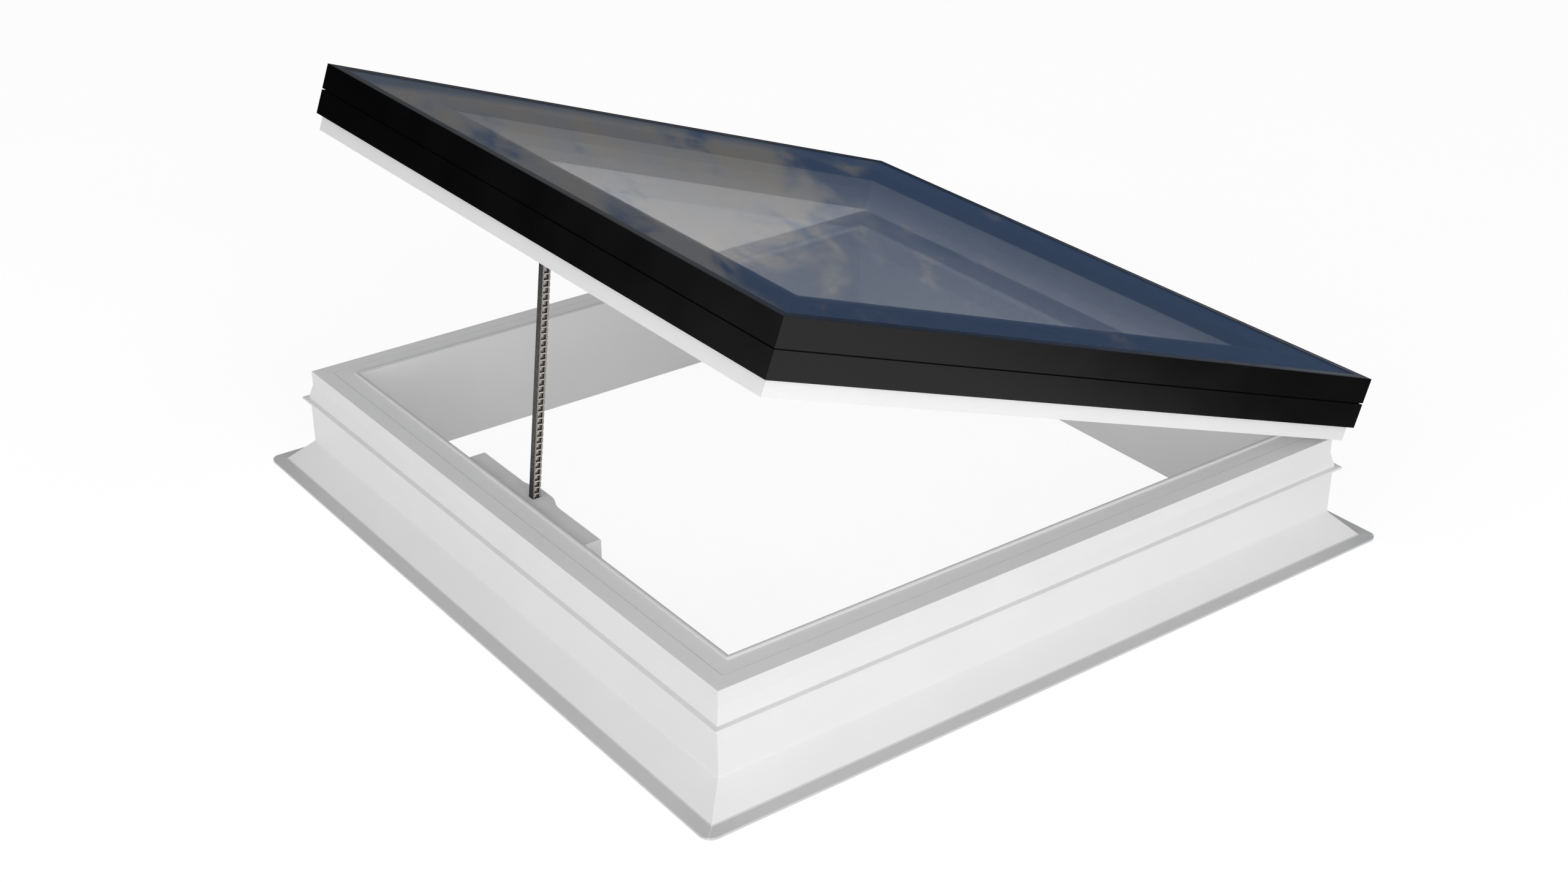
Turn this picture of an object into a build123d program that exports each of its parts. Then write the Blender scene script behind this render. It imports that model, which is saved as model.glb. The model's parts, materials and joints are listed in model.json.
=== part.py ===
from build123d import *
import math

# Rooflight: a flat glass lid hinged along the back of a white kerb and pushed
# open at the front by an electric chain. Millimetres, +Z up, origin under the
# middle of the kerb's flange. The front (-X) opens and the back (+X) is hinged.
# Every piece of the lid is drawn as it lies closed and turned by the opening angle.

# Plan of the kerb
opening = 900.0                 # clear daylight width, the same both ways
liner_depth = 28.0              # from the clear opening out to the joint line in the rim
rim_depth = 22.0                # flat rim from the joint line to the outer edge
rim_overhang = 5.0              # rim edge out to the foot of the sloping band
wall_set_back = 1.0             # upright wall behind the foot of the sloping band
lip_reach = 8.5                 # drip lip beyond the upright wall
skirt_reach = 33.0              # splayed skirt beyond the upright wall
flange_reach = 18.0             # flat flange beyond the foot of the skirt
flange_corner = 15.0            # rounding of the flange corners in plan

# Heights of the kerb
flange_thickness = 3.0
skirt_rise = 33.0
rim_height = 147.0
lip_drop = 45.0                 # underside of the drip lip below the rim
lip_thickness = 3.5
band_foot_drop = 39.0           # foot of the sloping band below the rim
band_drop = 21.5                # where the sloping band turns upright, below the rim
bead_rise = 3.0                 # rounded bead above the rim at the clear opening
bead_width = 5.5
bead_round = 2.4
joint_gap = 0.8                 # joint line between rim and liner
joint_depth = 2.5
skin = 3.0                      # wall of the hollow plastic profiles
web_height = 36.0               # lower web in the kerb profile
crease_round = 6.0              # soft crease where the skirt meets the wall
band_round = 2.0                # where the sloping band turns upright
edge_round = 0.8                # small rounding of the outer plastic edges

# Lid
lid_overhang = 15.0             # cladding face beyond the rim edge
sash_gap = 5.0                  # sash nose clear of the rim edge
nose_thickness = 3.5
nose_drop = 9.7                 # nose below the underside of the sash
lid_lift = 8.4                  # underside of the closed sash above the rim
sash_height = 54.0
cladding_thickness = 2.0
cladding_height = 33.2          # lower tier of the cladding
cladding_foot_height = 20.9     # foot of the lower tier above the tip of the nose
cladding_return = 2.4           # small turned-in edge at the foot
tier_gap = 1.8                  # shadow groove between the two tiers
groove_depth = 3.3
cap_height = 34.2               # upper tier of the cladding
cap_rim = 4.6                   # top edge of the upper tier, round the glass
glass_joint = 0.4
glass_arris = 0.8               # ground edge of the outer pane
outer_pane = 6.0
cavity = 16.0
inner_pane = 4.0
spacer_width = 12.0
spacer_edge = 4.0               # edge seal in from the pane's edge
seal_height = 3.4
seal_width = 9.0
seal_round = 1.6

# Hinges along the back
opening_angle = 20.0
hinge_drop = 5.0                # hinge axis below the rim
hinge_spacing = 600.0
hinge_length = 80.0
knuckle_radius = 3.0
pin_radius = 1.5
pin_clearance = 0.05
pin_head_radius = 2.6
pin_head = 1.2
knuckle_gap = 0.3
knuckle_count = 5
leaf_thickness = 1.5
kerb_leaf_drop = 16.0
lid_leaf_reach = 10.0

# Chain drive on the inside of the front wall
drive_length = 286.0
drive_height = 60.0
drive_depth = 24.4
drive_wall = 2.0
drive_below_rim = 2.0
drive_edge = 1.0                # bevelled edges of the housing
plate_corner = 2.0
end_cap_length = 12.0
plate_thickness = 2.4
plate_length = 190.0
plate_height = 44.0
swell = 8.5                     # middle of the housing stands out by this much
swell_outer = 36.5              # half widths of the corners that the swell is rounded from
swell_inner = 19.5
swell_round = 39.0
chain_setback = 17.5            # chain centre from the kerb's inner wall
chain_depth = 10.8
chain_width = 11.0
chain_pitch = 8.7
chain_clearance = 0.8
chain_tail = 14.0               # chain inside the housing
link_gap = 0.5                  # notch between the lobes of two links
lobe_depth = 1.0                # lobe on the back of each link
lobe_slope = 1.4
rung_height = 1.9
rail_width = 1.5
pocket_depth = 3.2              # pockets in both sides of each link
tooth_width = 2.4               # tooth at the top of each pocket, beside the front rail
tooth_edge = 1.2
tooth_height = 3.6
window_foot = 1.2               # open window of the lowest link, above the housing
eye_radius = 4.5
eye_reach = 16.0                # last link from its foot to the pin

# Bracket that ties the chain to the lid
bracket_pin_radius = 2.0
bracket_pin_inset = 9.0         # pin out from the sash's inner face
bracket_pin_rise = 1.6          # pin above the underside of the sash
bracket_thickness = 2.0
bracket_width = 24.0
bracket_depth = 19.0            # pocket in the sash, in from its inner face
bracket_height = 11.0
bracket_flange = 26.0           # flange screwed to the sash's inner face
bracket_cheek_round = 4.5

# Derived plan positions, all measured outward from the centre
liner_inner = opening / 2
liner_outer = liner_inner + liner_depth
rim_outer = liner_outer + rim_depth
band_outer = rim_outer + rim_overhang
wall_outer = band_outer - wall_set_back
lip_outer = wall_outer + lip_reach
skirt_outer = wall_outer + skirt_reach
flange_outer = skirt_outer + flange_reach
lid_outer = rim_outer + lid_overhang
nose_inner = rim_outer + sash_gap
sash_outer = nose_inner + nose_thickness
pane_outer = lid_outer - cap_rim - glass_joint
bead_outer = liner_inner + bead_width

# Derived heights
lip_height = rim_height - lip_drop
lip_top = lip_height + lip_thickness
band_foot_height = rim_height - band_foot_drop
band_height = rim_height - band_drop
hinge_height = rim_height - hinge_drop
bead_top = rim_height + bead_rise
sash_foot = rim_height + lid_lift
nose_foot = sash_foot - nose_drop
sash_top = sash_foot + sash_height
cladding_foot = nose_foot + cladding_foot_height
cladding_top = cladding_foot + cladding_height
cap_foot = cladding_top + tier_gap
cap_top = cap_foot + cap_height
inner_pane_foot = sash_top
spacer_foot = inner_pane_foot + inner_pane
outer_pane_foot = spacer_foot + cavity
drive_top = rim_height - drive_below_rim
drive_foot = drive_top - drive_height

# Sides of the square, each with the direction that it faces
SIDES = {"front": (-1, 0), "right": (0, -1), "back": (1, 0), "left": (0, 1)}

# The opened lid: everything turns about the hinge axis, which runs along Y
hinge_x = nose_inner
open_turn = Pos(hinge_x, 0, hinge_height) * Rot(0, opening_angle, 0) * Pos(-hinge_x, 0, -hinge_height)


def opened(plane):
    """The same plane carried round the hinge with the open lid."""
    return Plane(open_turn * plane.location)


def side_plane(outward):
    """Upright section plane of one side: x runs outward from the centre, y runs up."""
    return Plane(origin=(0, 0, 0), x_dir=(*outward, 0), z_dir=(outward[1], -outward[0], 0))


def mitre_plane(outward):
    """Level plane under everything, whose x runs outward through the middle of one side."""
    return Plane(origin=(0, 0, -skin), x_dir=(*outward, 0), z_dir=(0, 0, 1))


def keep(builder, name):
    """Name a finished piece and write it."""
    builder.part.label = name
    export_step(builder.part, f"parts/{name}.step")


def solid_shape(points):
    """A straight-sided face through the points, in the sketch that is open."""
    Polygon(*points, align=None)


def round_corner(place, radius):
    """Round the corner of the open sketch that lies at a place."""
    fillet(vertices().sort_by_distance(place)[0], radius)


def hollow(points):
    """A straight-sided hole through the points, in the sketch that is open."""
    Polygon(*points, align=None, mode=Mode.SUBTRACT)


def box_points(x0, y0, x1, y1):
    """The corners of an upright box in a section."""
    return [(x0, y0), (x1, y0), (x1, y1), (x0, y1)]


def kerb_section():
    """Hollow outer profile of the kerb: flange, splayed skirt, wall, drip lip, band and rim."""
    level_skin = skin * math.hypot(skirt_reach, skirt_rise) / skirt_rise
    crease_height = flange_thickness + skirt_rise
    inner_crease = flange_thickness + (skirt_reach + skin - level_skin) * skirt_rise / skirt_reach
    wall_in = wall_outer - skin
    core = liner_outer + skin
    solid_shape([
        (liner_outer, 0), (flange_outer, 0), (flange_outer, flange_thickness),
        (skirt_outer, flange_thickness), (wall_outer, crease_height),
        (wall_outer, lip_height), (lip_outer, lip_height), (lip_outer, lip_top),
        (band_outer, lip_top), (band_outer, band_foot_height),
        (rim_outer, band_height), (rim_outer, rim_height), (liner_outer, rim_height),
    ])
    round_corner((wall_outer, crease_height), crease_round)
    round_corner((rim_outer, band_height), band_round)
    for sharp_edge in ((flange_outer, flange_thickness), (lip_outer, lip_height), (lip_outer, lip_top),
                       (band_outer, band_foot_height), (rim_outer, rim_height)):
        round_corner(sharp_edge, edge_round)
    hollow([
        (core, flange_thickness), (skirt_outer - level_skin, flange_thickness),
        (wall_in, inner_crease), (wall_in, web_height), (core, web_height),
    ])
    hollow(box_points(core, web_height + skin, wall_in, lip_height))
    hollow([
        (core, lip_top), (band_outer - skin, lip_top), (band_outer - skin, band_foot_height),
        (rim_outer - skin, band_height), (rim_outer - skin, rim_height - skin), (core, rim_height - skin),
    ])


def liner_section():
    """Hollow inner profile of the kerb, with the joint line and the rounded bead."""
    outline = Polygon(
        (liner_inner, 0), (liner_outer, 0), (liner_outer, rim_height - joint_depth),
        (liner_outer - joint_gap, rim_height - joint_depth), (liner_outer - joint_gap, rim_height),
        (bead_outer, rim_height), (bead_outer, bead_top), (liner_inner, bead_top), align=None)
    fillet(outline.vertices().group_by(Axis.Y)[-1], bead_round)
    middle = rim_height / 2
    hollow(box_points(liner_inner + skin, skin, liner_outer - skin, middle - skin / 2))
    hollow(box_points(liner_inner + skin, middle + skin / 2, liner_outer - skin, rim_height - skin))


def sash_section():
    """Hollow sash of the lid: a flat foot over the rim and a nose that hangs outside it."""
    web = (liner_inner + sash_outer) / 2
    solid_shape([
        (liner_inner, sash_foot), (nose_inner, sash_foot), (nose_inner, nose_foot),
        (sash_outer, nose_foot), (sash_outer, sash_top), (liner_inner, sash_top),
    ])
    hollow(box_points(liner_inner + skin, sash_foot + skin, web - skin / 2, sash_top - skin))
    hollow(box_points(web + skin / 2, sash_foot + skin, sash_outer - skin, sash_top - skin))


def cladding_section():
    """Lower tier of the black cladding, with its turned-in foot and the tongue behind the groove."""
    face_in = lid_outer - cladding_thickness
    tongue = lid_outer - groove_depth
    solid_shape([
        (lid_outer, cladding_foot), (lid_outer, cladding_top), (tongue, cladding_top),
        (tongue, cap_foot + cladding_thickness), (sash_outer, cap_foot + cladding_thickness),
        (sash_outer, cladding_top - cladding_thickness), (face_in, cladding_top - cladding_thickness),
        (face_in, cladding_foot + cladding_thickness),
        (face_in - cladding_return, cladding_foot + cladding_thickness),
        (face_in - cladding_return, cladding_foot),
    ])


def cap_section():
    """Upper tier of the cladding, with the narrow rim that frames the glass."""
    face_in = lid_outer - cladding_thickness
    tongue = lid_outer - groove_depth
    rim_in = lid_outer - cap_rim
    step = cap_foot + cladding_thickness
    solid_shape([
        (lid_outer, cap_foot), (lid_outer, cap_top), (rim_in, cap_top),
        (rim_in, cap_top - cladding_thickness), (face_in, cap_top - cladding_thickness),
        (face_in, step + cladding_thickness), (sash_outer, step + cladding_thickness),
        (sash_outer, step), (tongue, step), (tongue, cap_foot),
    ])


def seal_section():
    """Rounded weather seal under the sash, over the middle of the rim."""
    middle = (rim_outer + liner_outer) / 2
    outline = Polygon(*box_points(middle - seal_width / 2, sash_foot - seal_height,
                                  middle + seal_width / 2, sash_foot), align=None)
    fillet(outline.vertices().group_by(Axis.Y)[0], seal_round)


def frame_side(outward, section, carry):
    """One side of a square frame: a section mitred at both ends, with the flange's corners rounded."""
    with BuildPart() as side:
        with BuildSketch(carry(side_plane(outward))):
            section()
        extrude(amount=flange_outer, both=True)
        with BuildSketch(carry(mitre_plane(outward))):
            solid_shape([(0, 0), (flange_outer, -flange_outer), (flange_outer, flange_outer)])
            RectangleRounded(2 * flange_outer, 2 * flange_outer, flange_corner, mode=Mode.INTERSECT)
        extrude(amount=cap_top + 2 * skin, mode=Mode.INTERSECT)
    return side


def in_place(plane):
    """A plane that stays where it is, for the kerb."""
    return plane


# Kerb and liner
for side_name, side_faces in SIDES.items():
    keep(frame_side(side_faces, kerb_section, in_place), f"kerb_{side_name}")
    keep(frame_side(side_faces, liner_section, in_place), f"liner_{side_name}")

# Sash, cladding, cap and weather seal of the lid
pocket_half = bracket_width / 2
for side_name, side_faces in SIDES.items():
    with BuildPart() as sash:
        add(frame_side(side_faces, sash_section, opened).part)
        if side_name == "front":
            with BuildSketch(opened(Plane.XY.offset(sash_foot))):
                with Locations((-(liner_inner + bracket_depth / 2), 0)):
                    Rectangle(bracket_depth, bracket_width)
            extrude(amount=bracket_height, mode=Mode.SUBTRACT)
    keep(sash, f"sash_{side_name}")
    keep(frame_side(side_faces, cladding_section, opened), f"cladding_{side_name}")
    keep(frame_side(side_faces, cap_section, opened), f"cap_{side_name}")
    keep(frame_side(side_faces, seal_section, opened), f"seal_{side_name}")

# Insulating glass: two panes and the dark edge seal between them
lid_up = Axis(origin=(0, 0, 0), direction=opened(Plane.XY).z_dir)
spacer_outer = pane_outer - spacer_edge
spacer_inner = spacer_outer - spacer_width
with BuildPart() as lower_glass:
    with BuildSketch(opened(Plane.XY.offset(inner_pane_foot))):
        Rectangle(2 * pane_outer, 2 * pane_outer)
    extrude(amount=inner_pane)
keep(lower_glass, "inner_pane")

with BuildPart() as edge_seal:
    with BuildSketch(opened(Plane.XY.offset(spacer_foot))):
        Rectangle(2 * spacer_outer, 2 * spacer_outer)
        Rectangle(2 * spacer_inner, 2 * spacer_inner, mode=Mode.SUBTRACT)
    extrude(amount=cavity)
keep(edge_seal, "edge_seal")

with BuildPart() as upper_glass:
    with BuildSketch(opened(Plane.XY.offset(outer_pane_foot))):
        Rectangle(2 * pane_outer, 2 * pane_outer)
    extrude(amount=outer_pane)
    chamfer(upper_glass.faces().sort_by(lid_up)[-1].edges(), glass_arris)
keep(upper_glass, "outer_pane")

# Hinges: knuckles in turn on the kerb leaf and the lid leaf, with one pin through all
knuckle_length = (hinge_length - (knuckle_count - 1) * knuckle_gap) / knuckle_count


def knuckle_centres(first):
    """Places along the axis of every second knuckle, counted from the first."""
    pitch = knuckle_length + knuckle_gap
    start = -hinge_length / 2 + knuckle_length / 2
    return [start + index * pitch for index in range(first, knuckle_count, 2)]


def hinge_plane(hinge_y, carry):
    """Section plane across a hinge: x runs outward to the back, y runs up."""
    return carry(Plane(origin=(0, hinge_y, 0), x_dir=(1, 0, 0), z_dir=(0, -1, 0)))


def build_leaf(hinge_y, carry, first, leaf_loops):
    """One leaf: folded plates joined to its own knuckles, bored for the pin."""
    with BuildPart() as leaf:
        with BuildSketch(hinge_plane(hinge_y, carry)):
            for loop in leaf_loops:
                solid_shape(loop)
        extrude(amount=hinge_length / 2, both=True)
        for centre in knuckle_centres(1 - first):
            with BuildSketch(hinge_plane(hinge_y + centre, carry)):
                with Locations((hinge_x, hinge_height)):
                    Circle(knuckle_radius + knuckle_gap)
            extrude(amount=knuckle_length / 2 + knuckle_gap, both=True, mode=Mode.SUBTRACT)
        for centre in knuckle_centres(first):
            with BuildSketch(hinge_plane(hinge_y + centre, carry)):
                with Locations((hinge_x, hinge_height)):
                    Circle(knuckle_radius)
            extrude(amount=knuckle_length / 2, both=True)
        with BuildSketch(hinge_plane(hinge_y, carry)):
            with Locations((hinge_x, hinge_height)):
                Circle(pin_radius + pin_clearance)
        extrude(amount=hinge_length, both=True, mode=Mode.SUBTRACT)
    return leaf


kerb_leaf = [box_points(rim_outer, hinge_height - kerb_leaf_drop, rim_outer + leaf_thickness, hinge_height)]
kerb_leaf.append(box_points(rim_outer, hinge_height - leaf_thickness, hinge_x, hinge_height))
lid_leaf = [box_points(nose_inner - leaf_thickness, hinge_height, nose_inner, sash_foot)]
lid_leaf.append(box_points(nose_inner - lid_leaf_reach, sash_foot - leaf_thickness, nose_inner, sash_foot))

for hinge_name, hinge_y in (("left", hinge_spacing / 2), ("right", -hinge_spacing / 2)):
    keep(build_leaf(hinge_y, in_place, 0, kerb_leaf), f"hinge_kerb_leaf_{hinge_name}")
    keep(build_leaf(hinge_y, opened, 1, lid_leaf), f"hinge_lid_leaf_{hinge_name}")
    with BuildPart() as pin:
        with BuildSketch(hinge_plane(hinge_y, in_place)):
            with Locations((hinge_x, hinge_height)):
                Circle(pin_radius)
        extrude(amount=hinge_length / 2 + pin_head, both=True)
        for end in (-1, 1):
            with BuildSketch(hinge_plane(hinge_y + end * (hinge_length + pin_head) / 2, in_place)):
                with Locations((hinge_x, hinge_height)):
                    Circle(pin_head_radius)
            extrude(amount=pin_head / 2, both=True)
    keep(pin, f"hinge_pin_{hinge_name}")

# Chain drive: back plate, housing with its swollen middle, and end caps
drive_back = -(liner_inner - plate_thickness)
drive_face = drive_back + drive_depth
housing_half = drive_length / 2 - end_cap_length
chain_x = -(liner_inner - chain_setback)

with BuildPart() as back_plate:
    with BuildSketch(Plane.YZ.offset(-liner_inner)):
        with Locations((0, drive_top - drive_height / 2)):
            RectangleRounded(plate_length, plate_height, plate_corner)
    extrude(amount=plate_thickness)
keep(back_plate, "drive_plate")


def drive_outline():
    """Plan of the housing, with the swell in the middle rounded into its face."""
    outline = Polygon(
        (drive_back, -housing_half), (drive_face, -housing_half), (drive_face, -swell_outer),
        (drive_face + swell, -swell_inner), (drive_face + swell, swell_inner), (drive_face, swell_outer),
        (drive_face, housing_half), (drive_back, housing_half), align=None)
    fillet([corner for corner in outline.vertices() if abs(corner.Y) < housing_half], swell_round)


slot_depth = chain_depth + 2 * chain_clearance
slot_width = chain_width + 2 * chain_clearance
with BuildPart() as housing:
    with BuildSketch(Plane.XY.offset(drive_foot)):
        drive_outline()
    extrude(amount=drive_height)
    level_faces = housing.faces().filter_by(Axis.Z)
    chamfer([edge for edge in level_faces.edges() if edge.center().X > drive_face - drive_wall], drive_edge)
    with BuildSketch(Plane.XY.offset(drive_foot + drive_wall)):
        with Locations(((drive_back + drive_face) / 2, 0)):
            Rectangle(drive_depth - 2 * drive_wall, 2 * housing_half)
    extrude(amount=drive_height - 2 * drive_wall, mode=Mode.SUBTRACT)
    with BuildSketch(Plane.XY.offset(drive_top)):
        with Locations((chain_x, 0)):
            Rectangle(slot_depth, slot_width)
    extrude(amount=-2 * drive_wall, mode=Mode.SUBTRACT)
keep(housing, "drive_housing")

for cap_name, cap_end in (("left", 1), ("right", -1)):
    with BuildPart() as end_cap:
        with BuildSketch(Plane.XZ.offset(-cap_end * housing_half)):
            with Locations(((drive_back + drive_face) / 2, drive_top - drive_height / 2)):
                Rectangle(drive_depth, drive_height)
        extrude(amount=-cap_end * end_cap_length)
        outer_face = end_cap.faces().sort_by(Axis.Y)[-1 if cap_end > 0 else 0]
        front_face = end_cap.faces().sort_by(Axis.X)[-1]
        bevelled = outer_face.edges() + front_face.edges().filter_by(Axis.Y)
        chamfer(bevelled, drive_edge)
    keep(end_cap, f"drive_end_cap_{cap_name}")

# Push chain from the housing to the pin on the lid
eye_closed = (-(liner_inner + bracket_pin_inset), 0, sash_foot + bracket_pin_rise)
eye = (open_turn * Pos(*eye_closed)).position
chain_exit = Vector(chain_x, 0, drive_top)
chain_run = eye - chain_exit
chain_length = chain_run.length
chain_way = chain_run.normalized()
link_count = int((chain_length - eye_reach + chain_tail) / chain_pitch)
chain_start = chain_length - eye_reach - link_count * chain_pitch
half_depth = chain_depth / 2
half_width = chain_width / 2

# Side view of the chain: x runs back, y runs along it from where it leaves the housing
chain_side = Plane(origin=chain_exit, x_dir=Vector(0, 1, 0).cross(chain_way), z_dir=(0, -1, 0))
link_feet = [chain_start + link * chain_pitch for link in range(link_count)]


def chain_outline():
    """Side view of all links: a straight front and one lobe on the back of each link."""
    points = [(-half_depth, chain_start)]
    for foot in link_feet:
        crown = foot + chain_pitch - link_gap
        points.append((half_depth - lobe_depth, foot))
        points.append((half_depth, foot + lobe_slope))
        points.append((half_depth, crown - lobe_slope))
        points.append((half_depth - lobe_depth, crown))
    last_foot = chain_length - eye_reach
    points.append((half_depth - lobe_depth, last_foot))
    points.append((-half_depth, last_foot))
    solid_shape(points)


def link_pocket(foot):
    """Pocket in the side of one link, with a tooth in its upper front corner."""
    front = rail_width - half_depth
    rear = half_depth - lobe_depth - rail_width
    crown = foot + chain_pitch
    solid_shape([
        (front, foot + rung_height), (rear, foot + rung_height), (rear, crown),
        (front + tooth_width, crown), (front + tooth_width, crown - tooth_edge),
        (front, crown - tooth_height),
    ])


with BuildPart() as chain:
    with BuildSketch(chain_side):
        chain_outline()
        with Locations((0, chain_length - eye_reach / 2)):
            Rectangle(2 * eye_radius, eye_reach)
        with Locations((0, chain_length)):
            Circle(eye_radius)
            Circle(bracket_pin_radius + pin_clearance, mode=Mode.SUBTRACT)
    extrude(amount=half_width, both=True)
    for link_side in (-1, 1):
        with BuildSketch(chain_side.offset(link_side * (half_width - pocket_depth))):
            for foot in link_feet:
                if foot > 0:
                    link_pocket(foot)
        extrude(amount=link_side * pocket_depth, mode=Mode.SUBTRACT)
    lowest_rung = min(foot for foot in link_feet if foot > 0)
    with BuildSketch(chain_side):
        solid_shape(box_points(rail_width - half_depth, window_foot,
                               half_depth - lobe_depth - rail_width, lowest_rung))
    extrude(amount=chain_width, both=True, mode=Mode.SUBTRACT)
keep(chain, "push_chain")

# Bracket in the sash pocket, with the pin that carries the chain's last link
cheek_inner = pocket_half - bracket_thickness
with BuildPart() as bracket:
    with BuildSketch(opened(Plane.XY.offset(sash_foot + bracket_height - bracket_thickness))):
        with Locations((-(liner_inner + bracket_depth / 2), 0)):
            Rectangle(bracket_depth, bracket_width)
    extrude(amount=bracket_thickness)
    for cheek_y in (cheek_inner, -pocket_half):
        with BuildSketch(opened(Plane(origin=(0, cheek_y, 0), x_dir=(-1, 0, 0), z_dir=(0, 1, 0)))):
            Polygon(*box_points(liner_inner, sash_foot, liner_inner + bracket_depth,
                                sash_foot + bracket_height), align=None)
            with Locations((liner_inner + bracket_pin_inset, sash_foot + bracket_pin_rise)):
                Circle(bracket_cheek_round)
                Circle(bracket_pin_radius, mode=Mode.SUBTRACT)
        extrude(amount=bracket_thickness)
    with BuildSketch(opened(Plane.YZ.offset(-liner_inner))):
        with Locations((0, sash_foot + bracket_height - bracket_thickness + bracket_flange / 2)):
            Rectangle(bracket_width, bracket_flange)
    extrude(amount=bracket_thickness)
keep(bracket, "chain_bracket")

with BuildPart() as chain_pin:
    with BuildSketch(opened(Plane(origin=eye_closed, x_dir=(1, 0, 0), z_dir=(0, -1, 0)))):
        Circle(bracket_pin_radius)
    extrude(amount=pocket_half, both=True)
keep(chain_pin, "chain_pin")

print("flange width", 2 * flange_outer, "lid width", 2 * lid_outer, "chain", round(chain_length, 1), link_count)
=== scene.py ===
"""Looks of an opening flat glass rooflight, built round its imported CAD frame. Metres, +Z up."""

import json
import logging
import math
from dataclasses import dataclass
from enum import Enum

import bmesh
import bpy
import numpy as np
from mathutils import Euler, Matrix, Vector


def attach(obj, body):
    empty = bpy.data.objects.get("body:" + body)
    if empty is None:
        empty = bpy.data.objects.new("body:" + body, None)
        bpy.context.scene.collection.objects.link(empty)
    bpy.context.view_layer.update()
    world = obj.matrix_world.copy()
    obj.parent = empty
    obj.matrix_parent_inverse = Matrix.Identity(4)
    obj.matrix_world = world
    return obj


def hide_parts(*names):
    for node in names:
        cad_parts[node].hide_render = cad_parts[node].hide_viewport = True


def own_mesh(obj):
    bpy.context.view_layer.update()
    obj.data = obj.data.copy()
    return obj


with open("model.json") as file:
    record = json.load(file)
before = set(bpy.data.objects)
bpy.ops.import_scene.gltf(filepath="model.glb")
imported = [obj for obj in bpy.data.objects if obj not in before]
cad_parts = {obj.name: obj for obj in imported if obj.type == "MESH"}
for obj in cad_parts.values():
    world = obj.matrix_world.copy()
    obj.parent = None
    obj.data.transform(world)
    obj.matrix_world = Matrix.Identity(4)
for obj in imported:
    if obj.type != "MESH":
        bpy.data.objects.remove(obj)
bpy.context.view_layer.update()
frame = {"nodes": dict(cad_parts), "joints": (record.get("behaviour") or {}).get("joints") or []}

Material = bpy.types.Material
Piece = bpy.types.Object
Tree = bpy.types.NodeTree
Socket = bpy.types.NodeSocket
Shell = tuple[np.ndarray, list]         # points and faces

LOG = logging.getLogger("rooflight")
MM = 0.001
NOISE = (0.3, 0.7)                      # range that soft noise stays in
HINGE = next(joint for joint in frame["joints"] if joint["name"] == "lid_hinge")
PIVOT = Vector(HINGE["pos_m"])
OPENING_ANGLE = math.radians(-HINGE["range_deg"][0])


class Body(Enum):
    """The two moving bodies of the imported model."""

    KERB = "kerb"
    LID = "lid"


class Run(Enum):
    """Direction in which a profile was extruded, as the stretch of its fine lines."""

    ALONG_X = (0.02, 1.0, 1.0)
    ALONG_Y = (1.0, 0.02, 1.0)


SIDES = {"front": Run.ALONG_Y, "right": Run.ALONG_X, "back": Run.ALONG_Y, "left": Run.ALONG_X}


# Small helpers for colours, nodes and meshes


def linear(colour: str) -> tuple[float, float, float, float]:
    """Turn an sRGB hex colour into linear red, green, blue and an alpha of one.

    Args:
        colour: six hex digits after a hash sign.

    Returns:
        Four numbers for a colour socket.
    """
    parts = np.array([int(colour[i:i + 2], 16) for i in (1, 3, 5)]) / 255
    light = np.where(parts <= 0.04045, parts / 12.92, ((parts + 0.055) / 1.055) ** 2.4)
    return (*light.tolist(), 1.0)


def add_node(tree: Tree, kind: str, inputs: dict | None = None, **settings: object) -> bpy.types.Node:
    """Add one node, set its properties, and fill or link its inputs.

    Args:
        tree: the node tree.
        kind: Blender's name of the node type, without the ShaderNode it begins with.
        inputs: socket names or numbers, each with a value or an output socket.
        settings: the node's properties and their values.

    Returns:
        The new node.
    """
    node = tree.nodes.new("ShaderNode" + kind)
    for key, value in settings.items():
        setattr(node, key, value)
    for key, value in (inputs or {}).items():
        if isinstance(value, Socket):
            tree.links.new(value, node.inputs[key])
        else:
            node.inputs[key].default_value = value
    return node


def mixed(tree: Tree, share: Socket, first: object, second: object) -> Socket:
    """Blend two colours.

    Args:
        tree: the node tree.
        share: how much of the second colour shows, from 0 to 1.
        first: colour or socket at share 0.
        second: colour or socket at share 1.

    Returns:
        The blended colour's socket.
    """
    return add_node(tree, "Mix", {0: share, 6: first, 7: second}, data_type="RGBA").outputs[2]


def noise(tree: Tree, place: Socket, size: float, detail: float = 2.0, **more: float) -> Socket:
    """Soft noise with features of this size.

    Args:
        tree: the node tree.
        place: position that the noise is read at.
        size: size of its features in metres.
        detail: number of finer layers.
        more: other inputs of the noise node, as Roughness.

    Returns:
        Its value's socket, about 0.3 to 0.7.
    """
    return add_node(tree, "TexNoise", {
        "Vector": place, "Scale": 1 / size, "Detail": detail, **more}).outputs["Fac"]


def ranged(tree: Tree, value: Socket, before: tuple[float, float],
           after: tuple[float, float] = (0.0, 1.0)) -> Socket:
    """Map a value from one range to another, held at both ends.

    Args:
        tree: the node tree.
        value: the value's socket.
        before: range that it comes in.
        after: range that it is mapped to.

    Returns:
        The mapped value's socket.
    """
    return add_node(tree, "MapRange", {
        "Value": value, "From Min": before[0], "From Max": before[1],
        "To Min": after[0], "To Max": after[1]}).outputs[0]


def around(middle: float, spread: float = 0.05) -> tuple[float, float]:
    """Range as far below the middle as above it."""
    return middle - spread, middle + spread


def maths(tree: Tree, operation: str, *values: object) -> Socket:
    """Work out one step of arithmetic.

    Args:
        tree: the node tree.
        operation: Blender's name of the step.
        values: numbers or sockets, in the node's order.

    Returns:
        The result's socket.
    """
    return add_node(tree, "Math", dict(enumerate(values)), operation=operation).outputs[0]


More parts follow.
